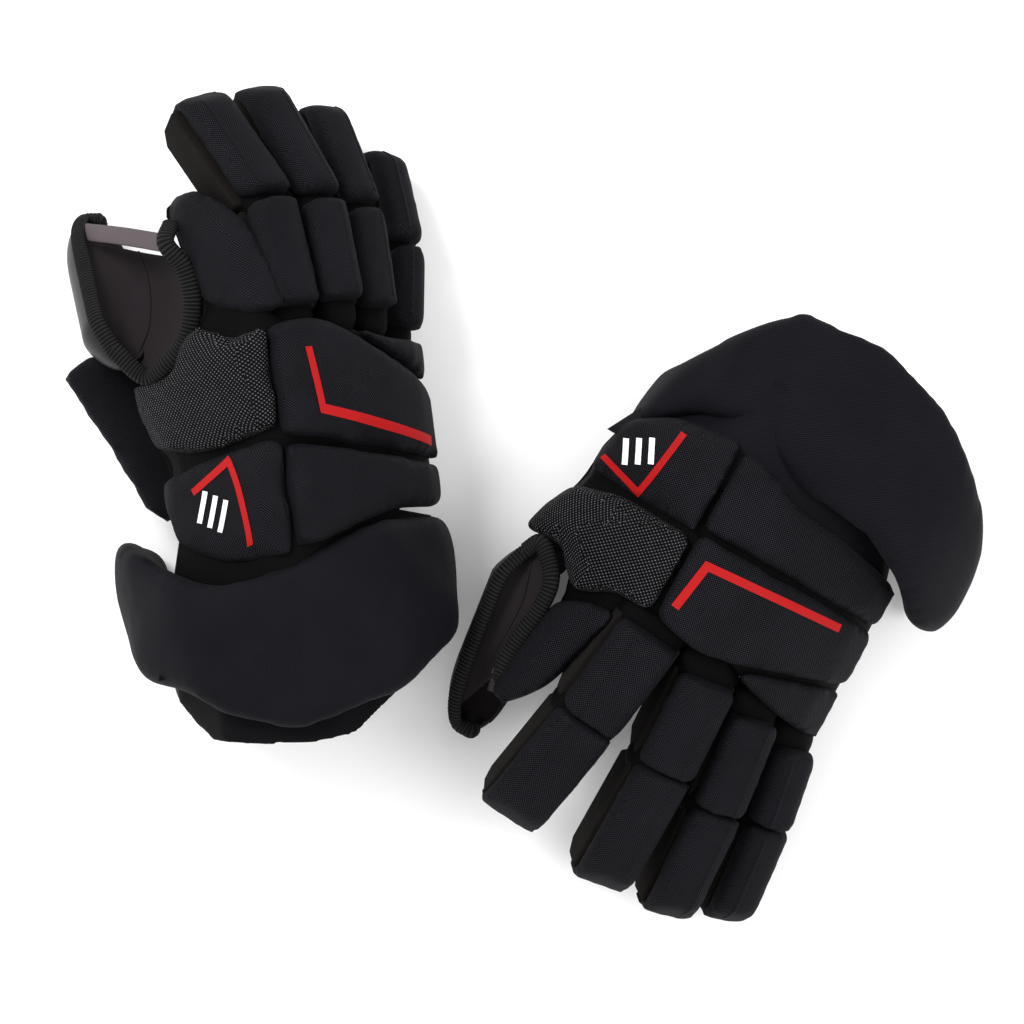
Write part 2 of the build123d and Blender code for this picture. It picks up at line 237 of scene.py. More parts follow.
def ribbed():
    """Elastic tape: ribs run across the tape, so they follow the second texture coordinate."""
    nodes = Nodes("ribbed_binding")
    _, y = nodes.uv()
    rib = nodes.math("SINE", nodes.math("MULTIPLY", y, 2 * pi / RIB_PITCH))
    rib = nodes.math("MULTIPLY_ADD", rib, 0.5, 0.5)
    worn = nodes.math("MULTIPLY_ADD", nodes.noise(90.0), 0.6, 0.7)
    lit = nodes.math("MULTIPLY", rib, worn)
    colour = nodes.mix(lit, (0.001, 0.001, 0.001, 1), (0.013, 0.013, 0.013, 1))
    nodes.bump(rib, 0.9, 0.5 * MM)
    return nodes.finish(colour, 0.75, Specular_IOR_Level=0.12)


def printed(name, colour):
    """Ink on the cloth: the weave still shows through as small pits."""
    nodes = Nodes(name)
    height = thread_height(nodes, WEAVE_PITCH, WEAVE_PITCH)
    darker = tuple(0.72 * part for part in colour)
    shade = nodes.mix(nodes.math("POWER", height, 0.5), (*darker, 1), (*colour, 1))
    nodes.bump(height, 0.4, 0.15 * MM)
    return nodes.finish(shade, 0.6, Specular_IOR_Level=0.1)


MATERIALS = {
    "nylon_weave": fabric("nylon_weave", (0.0001, 0.0001, 0.0002), (0.0200, 0.0200, 0.0275), glint=0.06),
    "coarse_mesh": fabric("coarse_mesh", (0.0002, 0.0002, 0.0003), (0.013, 0.013, 0.016),
                          pitch=(2.2 * MM, 2.0 * MM), depth=0.45 * MM, glint=0.55),
    "cuff_knit": fabric("cuff_knit", (0.0008, 0.0008, 0.0013), (0.0170, 0.0160, 0.0235),
                        pitch=(1.8 * MM, 1.2 * MM), depth=0.12 * MM, sheen=0.008),
    "cuff_lining_knit": fabric("cuff_lining_knit", (0.0012, 0.0012, 0.0016), (0.0080, 0.0080, 0.0100),
                               pitch=(2.4 * MM, 1.4 * MM)),
    # painted shade: a cloth much darker than the pads' own black weave, used where grooves, hinge gaps and
    # the cuff's lip are in shade
    "shade_painted_cloth": fabric("shade_painted_cloth", (0.0006, 0.0006, 0.0008), (0.0030, 0.0030, 0.0036), sheen=0.0),
    "grey_liner": fabric("grey_liner", (0.012, 0.0098, 0.0110), (0.034, 0.028, 0.032),
                         pitch=(0.9 * MM, 0.9 * MM), depth=0.08 * MM, rough=0.85),
    "strap": fabric("strap", (0.070, 0.058, 0.062), (0.125, 0.105, 0.110),
                    pitch=(0.9 * MM, 0.9 * MM), depth=0.08 * MM, rough=0.8),
    "suede_palm": suede(),
    "thumb_leather": leather(),
    "ribbed_binding": ribbed(),
    "red_print": printed("red_print", (0.36, 0.006, 0.007)),
    "white_print": printed("white_print", (0.85, 0.85, 0.85)),
}


# ---------------------------------------------------------------- mesh helpers
def new_object(name, data):
    made = bpy.data.objects.new(name, data)
    bpy.context.scene.collection.objects.link(made)
    return made


def apply_modifiers(piece):
    """Bakes a piece's modifiers into its mesh."""
    bpy.context.view_layer.update()
    evaluated = piece.evaluated_get(bpy.context.evaluated_depsgraph_get())
    baked = bpy.data.meshes.new_from_object(evaluated)
    piece.modifiers.clear()
    piece.data = baked


def coordinates(piece):
    return np.array([vertex.co for vertex in piece.data.vertices], float).reshape(-1, 3)


def set_coordinates(piece, points):
    piece.data.vertices.foreach_set("co", np.asarray(points, np.float32).ravel())
    piece.data.update()


def smooth_shading(piece):
    piece.data.polygons.foreach_set("use_smooth", [True] * len(piece.data.polygons))


def box_uvs(piece, place):
    """Texture coordinates in metres, projected along the nearest axis of the given frame."""
    mesh = piece.data
    layer = mesh.uv_layers.get("UVMap") or mesh.uv_layers.new(name="UVMap")
    inverse = np.array(place.inverted())
    local = coordinates(piece) @ inverse[:3, :3].T + inverse[:3, 3]
    normals = np.array([polygon.normal for polygon in mesh.polygons]) @ inverse[:3, :3].T
    choices = {0: (1, 2), 1: (0, 2), 2: (0, 1)}
    values = np.zeros((len(mesh.loops), 2))
    for polygon, normal in zip(mesh.polygons, normals):
        pair = choices[int(np.argmax(np.abs(normal) * (1.0, 0.8, 1.2)))]
        for loop in polygon.loop_indices:
            values[loop] = local[mesh.loops[loop].vertex_index][list(pair)]
    layer.data.foreach_set("uv", values.ravel())


FLOOR_GAP = 0.3 * MM


def keep_off_floor(piece):
    points = coordinates(piece)
    points[:, 2] = np.maximum(points[:, 2], FLOOR_GAP)
    set_coordinates(piece, points)


def dress(piece, material, body, place, nodes=()):
    """Gives a finished mesh its material, texture coordinates and body, and hides the parts it replaces."""
    piece.data.materials.clear()
    piece.data.materials.append(MATERIALS[material])
    keep_off_floor(piece)
    smooth_shading(piece)
    box_uvs(piece, place)
    if body:
        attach(piece, body)
    if nodes:
        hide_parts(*nodes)
    return piece


def dress_tape(piece, material, body, nodes=()):
    """Like dress, for a piece that already has texture coordinates along its length."""
    piece.data.materials.append(MATERIALS[material])
    smooth_shading(piece)
    if body:
        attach(piece, body)
    if nodes:
        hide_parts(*nodes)


def copy_of(node, name):
    return new_object(name, NODES[node].data.copy())


def remeshed(piece, voxel):
    modifier = piece.modifiers.new("remesh", "REMESH")
    modifier.mode = "VOXEL"
    modifier.voxel_size = voxel
    apply_modifiers(piece)


def relaxed(piece, rounds):
    modifier = piece.modifiers.new("smooth", "SMOOTH")
    modifier.iterations = rounds
    modifier.factor = 0.5
    apply_modifiers(piece)


def grown(piece, amount):
    """Moves every vertex out along its normal by amount."""
    modifier = piece.modifiers.new("grow", "DISPLACE")
    modifier.mid_level = 0.0
    modifier.strength = amount
    apply_modifiers(piece)


SIM_FRAMES = 14
CLOTH_STIFFNESS = 12.0
PAD_PRESSURE = 4.0


def inflated(piece, pressure, limit):
    """Blows a closed mesh up as cloth; no vertex moves further than limit."""
    rest = coordinates(piece)
    cloth = piece.modifiers.new("cloth", "CLOTH")
    settings = cloth.settings
    settings.quality = 4
    settings.mass = 0.15
    settings.tension_stiffness = settings.compression_stiffness = CLOTH_STIFFNESS
    settings.shear_stiffness = CLOTH_STIFFNESS / 2
    settings.bending_stiffness = 0.6
    settings.use_pressure = True
    settings.uniform_pressure_force = pressure
    settings.effector_weights.gravity = 0.0
    cloth.collision_settings.use_collision = False
    cloth.point_cache.frame_start, cloth.point_cache.frame_end = 1, SIM_FRAMES
    for step in range(1, SIM_FRAMES + 1):
        bpy.context.scene.frame_set(step)
    apply_modifiers(piece)
    bpy.context.scene.frame_set(1)
    moved = coordinates(piece) - rest
    length = np.linalg.norm(moved, axis=1, keepdims=True)
    set_coordinates(piece, rest + moved * np.minimum(1.0, limit / np.maximum(length, 1e-9)))


def keep_largest(piece):
    """Drops the specks a remesh can leave at a solid's thin corners."""
    work = bmesh.new()
    work.from_mesh(piece.data)
    unseen, islands = set(work.verts), []
    while unseen:
        edge, island = [unseen.pop()], []
        while edge:
            vertex = edge.pop()
            island.append(vertex)
            beside = {link.other_vert(vertex) for link in vertex.link_edges} & unseen
            unseen -= beside
            edge.extend(beside)
        islands.append(island)
    largest = max(islands, key=len)
    specks = [vertex for island in islands if island is not largest for vertex in island]
    bmesh.ops.delete(work, geom=specks, context="VERTS")
    work.to_mesh(piece.data)
    work.free()


def puffed(piece, voxel, shrink, soften, puff):
    """Remeshes a solid, softens its edges and blows it up."""
    remeshed(piece, voxel)
    keep_largest(piece)
    grown(piece, -shrink)
    relaxed(piece, soften)
    inflated(piece, PAD_PRESSURE, shrink + puff)
    grown(piece, 0.35 * puff)
    modifier = piece.modifiers.new("subdivide", "SUBSURF")
    modifier.levels = 1
    apply_modifiers(piece)
    return piece


def bevelled(node, name, width):
    """A CAD solid with its edges rounded."""
    piece = copy_of(node, name)
    work = bmesh.new()
    work.from_mesh(piece.data)
    bmesh.ops.remove_doubles(work, verts=work.verts, dist=0.01 * MM)
    bmesh.ops.dissolve_limit(work, angle_limit=radians(2), verts=work.verts, edges=work.edges)
    work.to_mesh(piece.data)
    work.free()
    modifier = piece.modifiers.new("bevel", "BEVEL")
    modifier.width = width
    modifier.segments = 3
    modifier.limit_method = "ANGLE"
    modifier.angle_limit = radians(25)
    modifier.use_clamp_overlap = True
    apply_modifiers(piece)
    return piece


def from_rings(name, rings):
    """A closed tube through rings of points; every ring has the same number of points."""
    count = len(rings[0])
    points = [point for ring in rings for point in ring]
    faces = []
    for row in range(len(rings) - 1):
        for spot in range(count):
            beside = (spot + 1) % count
            a, b = row * count, (row + 1) * count
            faces.append((a + spot, a + beside, b + beside, b + spot))
    faces.append(tuple(reversed(range(count))))
    faces.append(tuple(range(len(points) - count, len(points))))
    mesh = bpy.data.meshes.new(name)
    mesh.from_pydata([tuple(point) for point in points], [], faces)
    work = bmesh.new()
    work.from_mesh(mesh)
    bmesh.ops.recalc_face_normals(work, faces=work.faces)
    work.to_mesh(mesh)
    work.free()
    return new_object(name, mesh)


def smooth_path(points, step):
    """Points about step apart on a smooth curve through the given points."""
    points = [Vector(point) for point in points]
    ends = [2 * points[0] - points[1]] + points + [2 * points[-1] - points[-2]]
    path = []
    for a, b, c, d in zip(ends, ends[1:], ends[2:], ends[3:]):
        count = max(2, int((c - b).length / step))
        for index in range(count):
            t = index / count
            path.append(0.5 * (2 * b + (c - a) * t + (2 * a - 5 * b + 4 * c - d) * t ** 2
                               + (3 * b - a - 3 * c + d) * t ** 3))
    return path + [points[-1]]


TAPE_SIDES = 12
RIB_STEP, PLAIN_STEP = 0.45 * MM, 1.5 * MM      # between the rings of a ribbed and a plain tape
RIB_SWELL = 0.16


def tape(name, points, width, thick, up, ribs=False):
    """A rounded tape along a path; its texture runs along it, and ribs cross it."""
    path = smooth_path(points, RIB_STEP if ribs else PLAIN_STEP)
    rings, lengths, length = [], [], 0.0
    for index, spot in enumerate(path):
        along = (path[min(index + 1, len(path) - 1)] - path[max(index - 1, 0)]).normalized()
        side = along.cross(up).normalized()
        out = side.cross(along)
        if index:
            length += (spot - path[index - 1]).length
        swell = 1.0 + (RIB_SWELL * sin(2 * pi * length / RIB_PITCH) if ribs else 0.0)
        turns = [2 * pi * step / TAPE_SIDES for step in range(TAPE_SIDES)]
        rings.append([spot + side * (width / 2 * cos(turn)) + out * (thick / 2 * swell * sin(turn))
                      for turn in turns])
        lengths.append(length)
    piece = from_rings(name, rings)
    layer = piece.data.uv_layers.new(name="UVMap")
    for loop in piece.data.loops:
        row, spot = divmod(loop.vertex_index, TAPE_SIDES)
        layer.data[loop.index].uv = (spot / TAPE_SIDES * 2 * width, lengths[row])
    return piece


def surface_of(piece):
    return BVHTree.FromPolygons([vertex.co for vertex in piece.data.vertices],
                                [polygon.vertices for polygon in piece.data.polygons])


def mitred(points, offset):
    """The corners of a plan polyline moved sideways by offset."""
    moved = []
    for index, point in enumerate(points):
        before = Vector(points[max(index - 1, 0)])
        after = Vector(points[min(index + 1, len(points) - 1)])
        here = Vector(point)
        legs = [leg.normalized() for leg in (here - before, after - here) if leg.length > 0]
        normals = [Vector((-leg.y, leg.x)) for leg in legs]
        mean = sum(normals, Vector((0, 0))).normalized()
        moved.append(here + mean * (offset / mean.dot(normals[0])))
    return moved


PRINT_LIFT = 0.35 * MM
PRINT_STRIPS = 4                 # strips of faces across a print
ABOVE_HAND = 110.0               # rays down onto the pads start this high


def print_on(glove, name, pad, points, width, material):
    """A printed stripe along a plan polyline, laid on a pad's surface."""
    surface = surface_of(pad)
    down = hand_frame(glove).to_3x3() @ Vector((0, 0, -1))
    edges = [mitred(points, width * (step / PRINT_STRIPS - 0.5)) for step in range(PRINT_STRIPS + 1)]
    rows = []
    for edge in edges:
        row = []
        for a, b in zip(edge, edge[1:]):
            count = max(2, int((Vector(points[1]) - Vector(points[0])).length))
            row += [a.lerp(b, step / count) for step in range(count)]
        rows.append(row + [edge[-1]])
    vertices, index = [], {}
    for i, row in enumerate(rows):
        for j, spot in enumerate(row):
            x, y = on_plan(glove, *spot)
            hit, normal, _, _ = surface.ray_cast(from_hand(glove, (x, y, ABOVE_HAND)), down)
            if hit is not None:
                index[i, j] = len(vertices)
                out = -1 if normal.dot(down) > 0 else 1
                vertices.append(hit + normal * PRINT_LIFT * out)
    faces = []
    for i in range(len(rows) - 1):
        for j in range(len(rows[0]) - 1):
            corners = [(i, j), (i, j + 1), (i + 1, j + 1), (i + 1, j)]
            if all(corner in index for corner in corners):
                faces.append([index[corner] for corner in corners])
    mesh = bpy.data.meshes.new(name)
    mesh.from_pydata(vertices, [], faces)
    work = bmesh.new()
    work.from_mesh(mesh)
    bmesh.ops.delete(work, geom=[v for v in work.verts if not v.link_faces], context="VERTS")
    work.to_mesh(mesh)
    work.free()
    piece = new_object(name, mesh)
    dress(piece, material, f"{glove}_hand", hand_frame(glove))


# ---------------------------------------------------------------- pieces of one glove
# How solids become stuffed cloth: the mesh's size, how far it is drawn in before it is blown up,
# the rounds of softening, and how far the cloth may then swell.
HAND_PUFF = dict(voxel=3.6 * MM, shrink=1.2 * MM, soften=6, puff=4.0 * MM)
FINGER_PUFF = {
    "base": dict(voxel=2.8 * MM, shrink=0.8 * MM, soften=8, puff=3.4 * MM),
    "tip": dict(voxel=2.8 * MM, shrink=0.8 * MM, soften=15, puff=3.4 * MM),
}
CUFF_VOXEL = 5.0 * MM
CUFF_PUFF = dict(voxel=CUFF_VOXEL, shrink=2.0 * MM, soften=12, puff=6.5 * MM)
# Soft pads that spread past their plain solids: the x that stays in place, in hand millimetres, and
# the stretch away from it, where 1 leaves the pad as it is.
WIDENED = {
    "side_panel": {"right": (-76.0, 1.75), "left": (-64.0, 1.0)},
    "wrist_block": {"right": (-1.0, 1.16), "left": (-1.0, 1.0)},
    "thumb_base_block": {"right": (-1.0, 1.06), "left": (-1.0, 1.0)},
    "index_side_block": {"right": (-20.0, 1.30), "left": (-20.0, 1.10)},
}


def widened(piece, place, fixed, factor):
    """Stretches a mesh along a frame's X, away from the line x = fixed (millimetres)."""
    side = Vector((fixed, 0, 0)) * MM
    stretch = Matrix.Translation(side) @ Matrix.Diagonal((factor, 1, 1, 1)) @ Matrix.Translation(-side)
    piece.data.transform(place @ stretch @ place.inverted())


def hand_pads(glove):
    """The stuffed pads on the back of the hand."""
    place = hand_frame(glove)
    looks = {
        "wrist_block": "nylon_weave", "thumb_base_block": "coarse_mesh", "wrist_roll": "nylon_weave",
        "backhand_roll": "nylon_weave", "knuckle_roll": "nylon_weave", "index_side_block": "nylon_weave",
        "side_panel": "nylon_weave",
    }
    made = {}
    for part, material in looks.items():
        node = f"{glove}_{part}"
        piece = copy_of(node, f"{node}_pad")
        if part in WIDENED:
            fixed, factor = WIDENED[part][glove]
            widened(piece, place, fixed * (-1 if LAY[glove]["mirrored"] else 1), factor)
        puffed(piece, **HAND_PUFF)
        made[part] = dress(piece, material, f"{glove}_hand", place, [node])
    return made


# Plans of the prints, in hand millimetres.
STRIPE = [(7, 86), (11, 61), (88, 56)]          # on the backhand roll
WRIST_STRIPE = [(-54, 37), (-32, 45), (-27, 9)]
STRIPE_WIDTH, WRIST_STRIPE_WIDTH, BAR_WIDTH = 4.2, 3.0, 2.6
STRIPE_SHIFT = {"right": 13, "left": 0}         # the prints are not in quite the same place
BAR_AT = [(-50, 30), (-45, 27), (-40, 24)]      # three slanted bars on the wrist block
BAR_REACH = Vector((2.5, 6.0))
BAR_SHIFT = {"right": 0.0, "left": 4.0}


def prints(glove, pads):
    """Two-leg stripes and three short bars, all generic."""
    shift = STRIPE_SHIFT[glove]
    stripe = [(x + shift, y) for x, y in STRIPE]
    print_on(glove, f"{glove}_backhand_stripe", pads["backhand_roll"], stripe, STRIPE_WIDTH, "red_print")
    print_on(glove, f"{glove}_wrist_stripe", pads["wrist_block"], WRIST_STRIPE, WRIST_STRIPE_WIDTH,
             "red_print")
    for number, place in enumerate(BAR_AT):
        middle = Vector(place) + Vector((BAR_SHIFT[glove], 0))
        ends = [tuple(middle - BAR_REACH), tuple(middle + BAR_REACH)]
        print_on(glove, f"{glove}_wrist_bar_{number}", pads["wrist_block"], ends, BAR_WIDTH, "white_print")


# The pads' solids grown together and drawn back in, then moved into the hand, in millimetres.
FOUNDATION_GROWN, FOUNDATION_SHRUNK, FOUNDATION_SUNK = 7.0, 8.0, 8.0
FOUNDATION_PARTS = ("wrist_block", "thumb_base_block", "wrist_roll", "backhand_roll", "knuckle_roll",
                    "index_side_block")


def foundation(glove):
    """The cloth the hand's pads are sewn to, seen in the grooves between them, coloured much darker than
    the pads' own cloth as painted shade in the grooves.
    """
    work = bmesh.new()
    for part in FOUNDATION_PARTS:
        work.from_mesh(NODES[f"{glove}_{part}"].data)
    mesh = bpy.data.meshes.new(f"{glove}_foundation")
    work.to_mesh(mesh)
    work.free()
    piece = new_object(f"{glove}_foundation", mesh)
    remeshed(piece, 3.0 * MM)
    grown(piece, FOUNDATION_GROWN * MM)
    remeshed(piece, 3.5 * MM)
    relaxed(piece, 6)
    grown(piece, -FOUNDATION_SHRUNK * MM)
    relaxed(piece, 3)
    sunk = hand_frame(glove).to_3x3() @ Vector((0, 0, -FOUNDATION_SUNK * MM))
    set_coordinates(piece, coordinates(piece) + np.array(sunk))
    dress(piece, "shade_painted_cloth", f"{glove}_hand", hand_frame(glove))


FINGER_WIDTH = {"index": 34.0, "middle": 31.0, "ring": 28.0, "little": 25.0}
FINGER_SHARE = {"right": 0.82, "left": 1.0}     # of that width, on each glove as it lies
RIDGE_AT = {"index": -7.0, "middle": 5.5, "ring": 5.0, "little": -4.0}
RIDGE_REACH, RIDGE_STEP = 62, 4  # the ridge is followed this far along a pad, in such steps
STEEPEST = 0.6                   # and only where the pad still faces up by this much
RIDGE_POINTS = 5                 # a ridge with fewer points than this is not made
SLEEVE_EDGE = 2.5 * MM
SLEEVE_SPREAD = {"base": 1.30, "tip": 1.20}     # the soft sleeves fill the gaps between fingers
THUMB_SIDE_SPREAD = {"right": 1.45, "left": 1.15}   # the index fingertip reaches to the thumb side


def finger_pads(glove):
    for finger in FINGERS:
        for segment, part in (("base", "knuckle_pad"), ("tip", "tip_pad")):
            node = f"{glove}_{finger}_{part}"
            piece = puffed(copy_of(node, f"{node}_soft"), **FINGER_PUFF[segment])
            place = finger_frame(glove, finger, segment)
            body = f"{glove}_{finger}_{segment}"
            dress(piece, "nylon_weave", body, place, [node])
            ridge(glove, finger, piece, place, body)


def ridge(glove, finger, pad, place, body):
    """The sewn ridge where the two faces of a finger pad meet; left out on a very short pad."""
    surface = surface_of(pad)
    down = place.to_3x3() @ Vector((0, 0, -1))
    lean = RIDGE_AT[finger] * FINGER_SHARE[glove] * (-1 if LAY[glove]["mirrored"] else 1)
    points = []
    for y in range(2, RIDGE_REACH, RIDGE_STEP):
        hit, normal, _, _ = surface.ray_cast(place @ Vector((lean * MM, y * MM, 60 * MM)), down)
        if hit is not None and abs(normal.dot(down)) > STEEPEST:
            points.append(hit)
    if len(points) >= RIDGE_POINTS:
        seam = tape(f"{pad.name}_ridge", points, 2.2 * MM, 1.0 * MM, -down)
        dress_tape(seam, "nylon_weave", body)


def spread_sleeve(glove, finger, segment, piece, place):
    points = coordinates(piece)
    inverse = np.array(place.inverted())
    local = points @ inverse[:3, :3].T + inverse[:3, 3]
    toward_thumb = local[:, 0] * (-1 if LAY[glove]["mirrored"] else 1) < 0
    factor = np.full(len(points), SLEEVE_SPREAD[segment])
    if finger == "index" and segment == "tip":
        factor[toward_thumb] = THUMB_SIDE_SPREAD[glove]
    local[:, 0] *= factor
    forward = np.array(place)
    set_coordinates(piece, local @ forward[:3, :3].T + forward[:3, 3])


def finger_sleeves(glove):
    for finger in FINGERS:
        for segment in ("base", "tip"):
            node = f"{glove}_{finger}_{segment}_stall"
            piece = bevelled(node, f"{node}_suede", SLEEVE_EDGE)
            place = finger_frame(glove, finger, segment)
            spread_sleeve(glove, finger, segment, piece, place)
            dress(piece, "suede_palm", f"{glove}_{finger}_{segment}", place, [node])


GUSSET_SPREAD = {"right": 1.12, "left": 1.35}
GUSSET_LENGTH, GUSSET_DEPTH, GUSSET_LIFT = 34.0, 30.0, 4.0


def gussets(glove):
    """Folds of cloth that bridge each finger's two hinges, coloured dark as painted shade in the gaps at
    the hinges.
    """
    for finger in FINGERS:
        for segment, parent, name in (("base", "hand", "knuckle"), ("tip", f"{finger}_base", "middle")):
            place = finger_frame(glove, finger, segment)
            width = FINGER_WIDTH[finger] * FINGER_SHARE[glove]
            work = bmesh.new()
            bmesh.ops.create_cube(work, size=1.0)
            mesh = bpy.data.meshes.new("gusset")
            across = GUSSET_SPREAD[glove] * width
            size = Matrix.Diagonal((across * MM, GUSSET_LENGTH * MM, GUSSET_DEPTH * MM, 1))
            lifted = place @ Matrix.Translation((0, 0, GUSSET_LIFT * MM))
            bmesh.ops.transform(work, matrix=lifted @ size, verts=work.verts)
            work.to_mesh(mesh)
            work.free()
            piece = new_object(f"{glove}_{finger}_{name}_gusset", mesh)
            modifier = piece.modifiers.new("round", "SUBSURF")
            modifier.levels = 4
            apply_modifiers(piece)
            dress(piece, "shade_painted_cloth", None, place)
            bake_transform(piece)


# The gaiter's arch from the thumb's side over the wrist, as x and z in hand millimetres.
GAITER = [(-58, -12), (-36, 10), (-10, 39), (0, 45), (14, 45), (42, 38), (72, 24), (95, 8), (103, -12)]
GAITER_BACK, GAITER_FRONT = -34.0, 24.0
GAITER_ROWS = 8
GAITER_INNER, GAITER_THICK = 0.94, 4            # its inner wall is narrower and lower
GAITER_SPREAD = {"right": 1.55, "left": 0.45}      # of its thumb side, at the cuff's end
GAITER_OUTER_SPREAD = 0.84       # and of its little-finger side
# the right glove's gaiter takes the darkened under cloth: painted shade under its cuff's lip
GAITER_LOOK = {"right": "shade_painted_cloth", "left": "cuff_knit"}


def gaiter(glove):
    """The cloth between the hand and the cuff, seen under the cuff's lip."""
    rings = []
    for step in range(GAITER_ROWS + 1):
        y = GAITER_BACK + (GAITER_FRONT - GAITER_BACK) * step / GAITER_ROWS
        ring = []
        inner = [(GAITER_INNER * x, z - GAITER_THICK) for x, z in reversed(GAITER)]
        for x, z in GAITER + inner:
            end_spread = GAITER_SPREAD[glove] if x < 0 else GAITER_OUTER_SPREAD
            spread = 1 + (end_spread - 1) * (1 - step / GAITER_ROWS)
            flat_x, flat_y = on_plan(glove, spread * x, y)
            ring.append(from_hand(glove, (flat_x, flat_y, z)))
        rings.append(ring)
    piece = from_rings(f"{glove}_wrist_gaiter", rings)
    dress(piece, GAITER_LOOK[glove], None, hand_frame(glove))
    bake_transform(piece)


# Crossing waves that make the folds: radians per metre along each axis, and the phase.
WAVES = [((61, 23, 37), 0.4), ((-34, 71, 29), 1.7), ((88, -52, 47), 2.9), ((19, 113, -68), 0.9)]


def wrinkled(piece, depth):
    """Shallow soft folds over a large pad."""
    points = coordinates(piece)
    normals = np.array([vertex.normal for vertex in piece.data.vertices])
    height = sum(np.sin(points @ np.array(wave) + phase) for wave, phase in WAVES) / len(WAVES)
    set_coordinates(piece, points + normals * (height * depth)[:, None])


# The ends of the cuffs come forward round the wrist. Side (-1 is the thumb's), where the swing
# starts, the reach over which it grows, and how far it then goes out and forward, in millimetres.
HORNS = {
    "right": [(-1, -10.0, 60.0, 9.0, 20.0)],
    "left": [(-1, 10.0, 95.0, 3.0, 34.0), (1, 70.0, 50.0, 4.0, 8.0)],
}
HORN_BACK, HORN_FADE = -110.0, 70.0     # the swing fades in from the cuff's back edge
CUFF_CLOSING = 10.0 * MM         # notches narrower than twice this are filled
CUFF_FOLDS = 2.4 * MM
LINING_VOXEL, LINING_ROUNDS = 1.6 * MM, 25


def horned(glove, piece):
    """Swings the ends of a cuff piece forward."""
    side = -1 if LAY[glove]["mirrored"] else 1
    turn = Matrix.Rotation(radians(LAY[glove]["turn"]), 4, "Z")
    place = np.array(Matrix.Translation(Vector(LAY[glove]["at"]) * MM) @ turn)
    local = (coordinates(piece) - place[:3, 3]) @ place[:3, :3] / MM
    near_hand = np.clip((local[:, 1] - HORN_BACK) / HORN_FADE, 0.0, 1.0)
    for toward, start, reach, out, forward in HORNS[glove]:
        share = np.clip(toward * (local[:, 0] * side - start) / reach, 0.0, 1.2)
        local[:, 0] += toward * side * out * share
        local[:, 1] += forward * share ** 1.5 * near_hand
    set_coordinates(piece, local * MM @ place[:3, :3].T + place[:3, 3])


def cuff(glove):
    turn = Matrix.Rotation(radians(LAY[glove]["turn"]), 4, "Z")
    roll = f"{glove}_cuff_roll"
    piece = copy_of(roll, f"{roll}_wrap")
    remeshed(piece, CUFF_VOXEL)
    grown(piece, CUFF_CLOSING)
    remeshed(piece, CUFF_VOXEL)
    grown(piece, -CUFF_CLOSING)
    keep_largest(piece)
    puffed(piece, **CUFF_PUFF)
    horned(glove, piece)
    wrinkled(piece, CUFF_FOLDS)
    dress(piece, "cuff_knit", f"{glove}_cuff", turn, [roll])
    lining = f"{glove}_cuff_lining"
    piece = copy_of(lining, f"{lining}_sleeve")
    remeshed(piece, LINING_VOXEL)
    relaxed(piece, LINING_ROUNDS)
    horned(glove, piece)
    dress(piece, "cuff_lining_knit", f"{glove}_cuff", turn, [lining])


def hand_inside(glove):
    place = hand_frame(glove)
    body = f"{glove}_hand"
    looks = {"hand_liner": ("grey_liner", 0.8), "palm": ("suede_palm", 1.2)}
    for part, (material, edge) in looks.items():
        node = f"{glove}_{part}"
        piece = bevelled(node, f"{node}_cloth", edge * MM)
        dress(piece, material, body, place, [node])


THUMB_LENGTH = 107.0
THUMB_RADIUS = 18.5
MOUTH_FROM = 125.0               # the shell's mouth ends at this angle round the thumb
NOSE_RADIUS = 4.0                # of the rim's turn round the thumb's nose
STATIONS, STEPS_ROUND = 40, 24   # along and round a thumb shell
SEAM_ANGLES = (200.0, 212.0)
SEAM_SHARES = (0.22, 0.36, 0.5, 0.64, 0.78, 0.88)


def thumb_radius(share):
    """How wide the thumb is at a share of its length: a domed root and a round nose."""
    root = min(1.0, max(0.0, share / 0.20) ** 0.5)
    nose = (1.0 - max(0.0, (share - 0.62) / 0.38) ** 2.6) ** 0.5
    return max(0.06, root * nose)


def thumb_shell(glove, name, outer, thick, first, last, back, front):
    """A half tube round the thumb, open between two angles; lengths in millimetres."""
    rings = []
    for step in range(STATIONS + 1):
        y = back + (front - back) * (1 - cos(pi * step / STATIONS)) / 2
        share = thumb_radius(y / THUMB_LENGTH)
        turns = [radians(first + (last - first) * spot / STEPS_ROUND) for spot in range(STEPS_ROUND + 1)]
        reach = outer * share
        inner = max(reach - thick, 0.3)
        ring = [(reach * cos(turn), y, reach * sin(turn)) for turn in turns]
        ring += [(inner * cos(turn), y, inner * sin(turn)) for turn in reversed(turns)]
        rings.append([thumb_point(glove, point) for point in ring])
    return from_rings(name, rings)


def thumb(glove):
    """Leather shell and grey lining with two seams."""
    place = hand_frame(glove)
    body = f"{glove}_thumb"
    shell = thumb_shell(glove, f"{glove}_thumb_case", THUMB_RADIUS, 3.0, MOUTH_FROM, 310, 0.5, 106)
    dress(shell, "thumb_leather", body, place, [f"{glove}_thumb_shell"])
    liner = thumb_shell(glove, f"{glove}_thumb_lining", THUMB_RADIUS - 3.3, 1.8, MOUTH_FROM + 4, 330, 8, 99)
    dress(liner, "grey_liner", body, place, [f"{glove}_thumb_liner"])
    for number, angle in enumerate(SEAM_ANGLES):
        points = []
        for share in SEAM_SHARES:
            radius = (THUMB_RADIUS - 4.8) * thumb_radius(share)
            turn = radians(angle + 60 * (share - 0.5) ** 2)
            across, height = radius * cos(turn), radius * sin(turn)
            points.append(thumb_point(glove, (across, share * THUMB_LENGTH, height)))
        seam = tape(f"{glove}_thumb_seam_{number}", points, 1.6 * MM, 1.2 * MM, Vector((0, 0, 1)))
        dress(seam, "grey_liner", body, place)


RIM_SHARES = (0.05, 0.18, 0.34, 0.5, 0.66, 0.8, 0.9, 0.96)
NOSE_ANGLES = (85.0, 30.0, -20.0)
